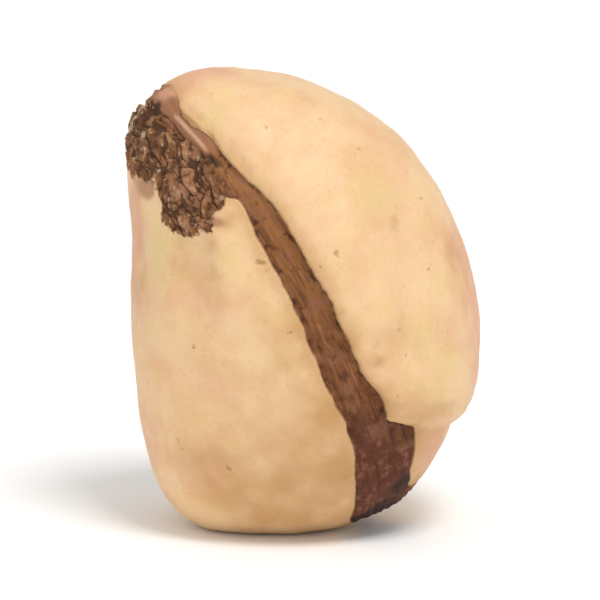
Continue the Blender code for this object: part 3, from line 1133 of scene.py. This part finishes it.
flakes = add_node(tree, "ShaderNodeTexNoise", {"Vector": in_mm, "Scale": 1.0 / FLAKE_MM, "Detail": 4.0})
crust_drift = add_node(
    tree, "ShaderNodeTexNoise", {"Vector": in_mm, "Scale": 1.0 / CRUST_DRIFT_MM, "Detail": 2.0}
)
ragged_flakes_and_highlight = add_node(
    tree, "ShaderNodeMath", {0: flakes, 1: FLAKES_AND_HIGHLIGHT_RAGGED, 2: mark["flake"]}, operation="MULTIPLY_ADD"
)
CRUST_LAYERS = (
    (mark["crust"], 0.55, 1.00, 0.55, CRUST_MAUVE),
    (crust_drift, 0.48, 0.66, 0.40, CRUST_MAUVE),
    (crust_drift, 0.46, 0.34, 0.50, CRUST_CRACK),
    (mark["mauve"], 0.20, 0.90, 0.60, CRUST_MAUVE),
    (blotches, 0.52, 0.68, 0.60, CRUST_GREY),
    (blotches, 0.48, 0.34, 0.85, CRUST_CRACK),
    # dark tissue, and painted shade on the crust's left side
    (ragged_dark_and_shade, 0.70, 1.35, 0.85, CRUST_CRACK),
    (mark["crust"], 0.50, 0.12, 0.85, CRUST_CRACK),
    # pale flakes: torn tissue, and partly a painted highlight at the left edge
    (flakes, 0.60, 0.74, 0.60, CRUST_FLAKE_AND_HIGHLIGHT),
    (ragged_flakes_and_highlight, 2.10, 2.70, 0.65, CRUST_FLAKE_AND_HIGHLIGHT),
)
crust_colour = lay_tints(tree, CRUST_OLIVE, CRUST_LAYERS)
print("crust layers:", len(CRUST_LAYERS))

# %% [markdown]
# ## One skin from three
#
# The three finishes meet in one material. Each mask is a stored distance with a little grain added, and
# it turns over within a quarter of a millimetre, so the brown edge is crisp but not cut with a knife.

# %% Masks and blended colour
MASKS = {
    # the distance it reads, how much grain frays it, and where it starts and ends
    "seam": (mark["seam"], 0.14, 0.00, 0.20),
    "scar": (mark["scar"], 0.90, 0.30, 0.65),
}
mask = {}
for name, (source, fray, start, end) in MASKS.items():
    uneven = add_node(tree, "ShaderNodeMath", {0: grain, 1: fray, 2: source}, operation="MULTIPLY_ADD")
    mask[name] = add_node(
        tree, "ShaderNodeMapRange", {"Value": uneven, "From Min": start, "From Max": end},
        interpolation_type="SMOOTHSTEP",
    )
nut_colour = leaf_colour
for share, tint in ((mask["scar"], crust_colour), (mask["seam"], seam_colour)):
    nut_colour = add_node(
        tree, "ShaderNodeMix", {MIX_SHARE: share, MIX_UNDER: nut_colour, MIX_OVER: tint}, MIX_RESULT,
        data_type="RGBA",
    )
print("masks:", ", ".join(mask))

# %% [markdown]
# ## Roughness and fine relief
#
# The moist skin has a satin roughness of about 0.4, and the dry tissue is near 0.8. The mottle makes both
# a little uneven. Height is added in millimetres, so each pattern's depth is a real one: faint pores and
# mottle on the seed leaves, strings and pits in the seam, and grit in the crust. One bump node turns the
# sum into slopes.

# %% Roughness and bump
LEAF_ROUGHNESS = 0.42
DRY_ROUGHNESS = 0.80
UNEVEN_GLOSS = 0.16
GRAIN_HEIGHT_MM = 0.020
PORE_HEIGHT_MM = -0.022
WRINKLE_HEIGHT_MM = -0.060
MOTTLE_HEIGHT_MM = 0.06
STRING_HEIGHT_MM = 0.10
PIT_HEIGHT_MM = 0.20
GRIT_HEIGHT_MM = 0.16

dry = add_node(tree, "ShaderNodeMath", {0: mask["seam"], 1: mask["scar"]}, operation="MAXIMUM")
roughness = add_node(
    tree, "ShaderNodeMapRange", {"Value": dry, "To Min": LEAF_ROUGHNESS, "To Max": DRY_ROUGHNESS}
)
uneven_gloss = add_node(
    tree, "ShaderNodeMath", {0: mottle, 1: UNEVEN_GLOSS, 2: roughness}, operation="MULTIPLY_ADD"
)
height = add_node(tree, "ShaderNodeMath", {0: mottle, 1: MOTTLE_HEIGHT_MM}, operation="MULTIPLY")
# each pattern, its height, and the mask that limits it, if any
HEIGHTS = (
    (grain, GRAIN_HEIGHT_MM, None),
    (pores, PORE_HEIGHT_MM, None),
    (wrinkles, WRINKLE_HEIGHT_MM, None),
    (strings, STRING_HEIGHT_MM, mask["seam"]),
    (blotches, PIT_HEIGHT_MM, mask["seam"]),
    (flakes, GRIT_HEIGHT_MM, mask["scar"]),
)
for pattern, size, where in HEIGHTS:
    if where is not None:
        pattern = add_node(tree, "ShaderNodeMath", {0: pattern, 1: where}, operation="MULTIPLY")
    height = add_node(tree, "ShaderNodeMath", {0: pattern, 1: size, 2: height}, operation="MULTIPLY_ADD")
slopes = add_node(tree, "ShaderNodeBump", {"Height": height, "Distance": METRES_PER_MM, "Strength": 1.0})
print("height patterns:", len(HEIGHTS) + 1)

# %% [markdown]
# ## The shader
#
# Light goes a little way into starch, which softens its shadows, so the shader has some subsurface
# scattering that reaches a millimetre in red light and less in blue. The index of refraction is that of
# plant flesh, about 1.45.

# %% Shader
SKIN_IOR = 1.45
GLOW_SHARE = 0.15
GLOW_REACH_MM = 1.0
GLOW_BY_COLOUR = (1.0, 0.55, 0.3)
shader = tree.nodes.new("ShaderNodeBsdfPrincipled")
shader.inputs["IOR"].default_value = SKIN_IOR
shader.inputs["Subsurface Weight"].default_value = GLOW_SHARE
shader.inputs["Subsurface Radius"].default_value = GLOW_BY_COLOUR
shader.inputs["Subsurface Scale"].default_value = GLOW_REACH_MM * METRES_PER_MM
tree.links.new(nut_colour, shader.inputs["Base Color"])
tree.links.new(uneven_gloss, shader.inputs["Roughness"])
tree.links.new(slopes, shader.inputs["Normal"])
surface = tree.nodes.new("ShaderNodeOutputMaterial")
tree.links.new(shader.outputs["BSDF"], surface.inputs["Surface"])
nut_data.materials.append(skin)
print("nodes in the skin:", len(tree.nodes))

# %% [markdown]
# ## Floor
#
# The nut stands on matt, nearly white paper. It could be curved up behind the nut, as in a studio. A flat
# sheet of many metres is simpler, and its far edge is too far away to be seen from the front.

# %% Floor
FLOOR_HALF_SIZE_M = 30.0
FLOOR_CORNERS = ((-1, -1), (1, -1), (1, 1), (-1, 1))
PAPER_ROUGHNESS = 0.9
floor_data = bpy.data.meshes.new("floor")
corners = [(x * FLOOR_HALF_SIZE_M, y * FLOOR_HALF_SIZE_M, NUT_LOW.z) for x, y in FLOOR_CORNERS]
floor_data.from_pydata(corners, [], [(0, 1, 2, 3)])
floor = bpy.data.objects.new("floor", floor_data)
bpy.context.scene.collection.objects.link(floor)
paper = bpy.data.materials.new("matt white paper")
paper.use_nodes = True
paper_shader = paper.node_tree.nodes["Principled BSDF"]
paper_shader.inputs["Base Color"].default_value = linear("#FBFBFA")
paper_shader.inputs["Roughness"].default_value = PAPER_ROUGHNESS
paper_shader.inputs["Specular IOR Level"].default_value = 0.0
floor_data.materials.append(paper)
print("floor at z =", round(NUT_LOW.z, 4))

# %% [markdown]
# ## Sky and lamps
#
# A small glossy thing is best shown in a light tent, where light comes from all around and no shadow is
# black. A bright even sky does the same. One broad softbox from the upper right gives the form, and a weak
# lamp on the left keeps that side from going grey.

# %% Sky and lamps
SKY_STRENGTH = 0.70
middle = placing @ Vector((0.0, 0.0, 0.0))
world = bpy.data.worlds.new("light tent")
world.use_nodes = True
sky = world.node_tree.nodes["Background"]
sky.inputs["Color"].default_value = linear("#FFFFFF")
sky.inputs["Strength"].default_value = SKY_STRENGTH
bpy.context.scene.world = world

# each lamp: where it hangs from the nut's middle in metres, its width in metres, and its watts
LAMPS = {
    "softbox": (Vector((0.30, -0.50, 1.05)), 0.40, 8.0),
    "left fill": (Vector((-0.80, -0.60, 0.25)), 0.60, 0.9),
}
for name, (place, width, watts) in LAMPS.items():
    lamp_data = bpy.data.lights.new(name, "AREA")
    lamp_data.size = width
    lamp_data.energy = watts
    lamp = bpy.data.objects.new(name, lamp_data)
    lamp.location = middle + place
    lamp.rotation_euler = (-place).to_track_quat("-Z", "Y").to_euler()
    bpy.context.scene.collection.objects.link(lamp)
print("lamps:", ", ".join(LAMPS))

# %% [markdown]
# ## Camera
#
# The nut was photographed from a little above, and from far enough for its sides to look straight. A long
# lens, half a metre away, keeps that look. The camera stands a third of a millimetre to the left of the
# nut's middle, which puts the nut in the picture where the photographer had it.

# %% Camera
CAMERA_ELEVATION = 12.0
CAMERA_LENS_MM = 380.0
SENSOR_MM = 36.0
VIEW_WIDTH_MM = 51.6
VIEW_SHIFT_MM = -0.35
distance = CAMERA_LENS_MM * VIEW_WIDTH_MM / SENSOR_MM * METRES_PER_MM
camera_data = bpy.data.cameras.new("camera")
camera_data.lens = CAMERA_LENS_MM
camera_data.sensor_width = SENSOR_MM
camera = bpy.data.objects.new("camera", camera_data)
rise = math.radians(CAMERA_ELEVATION)
back = Vector((0.0, -math.cos(rise), math.sin(rise)))
sideways = Vector((VIEW_SHIFT_MM * METRES_PER_MM, 0.0, 0.0))
camera.location = middle + back * distance + sideways
camera.rotation_euler = (-back).to_track_quat("-Z", "Y").to_euler()
bpy.context.scene.collection.objects.link(camera)
bpy.context.scene.camera = camera
bpy.context.scene.view_settings.view_transform = "Standard"
print("camera", round(distance, 3), "m away")
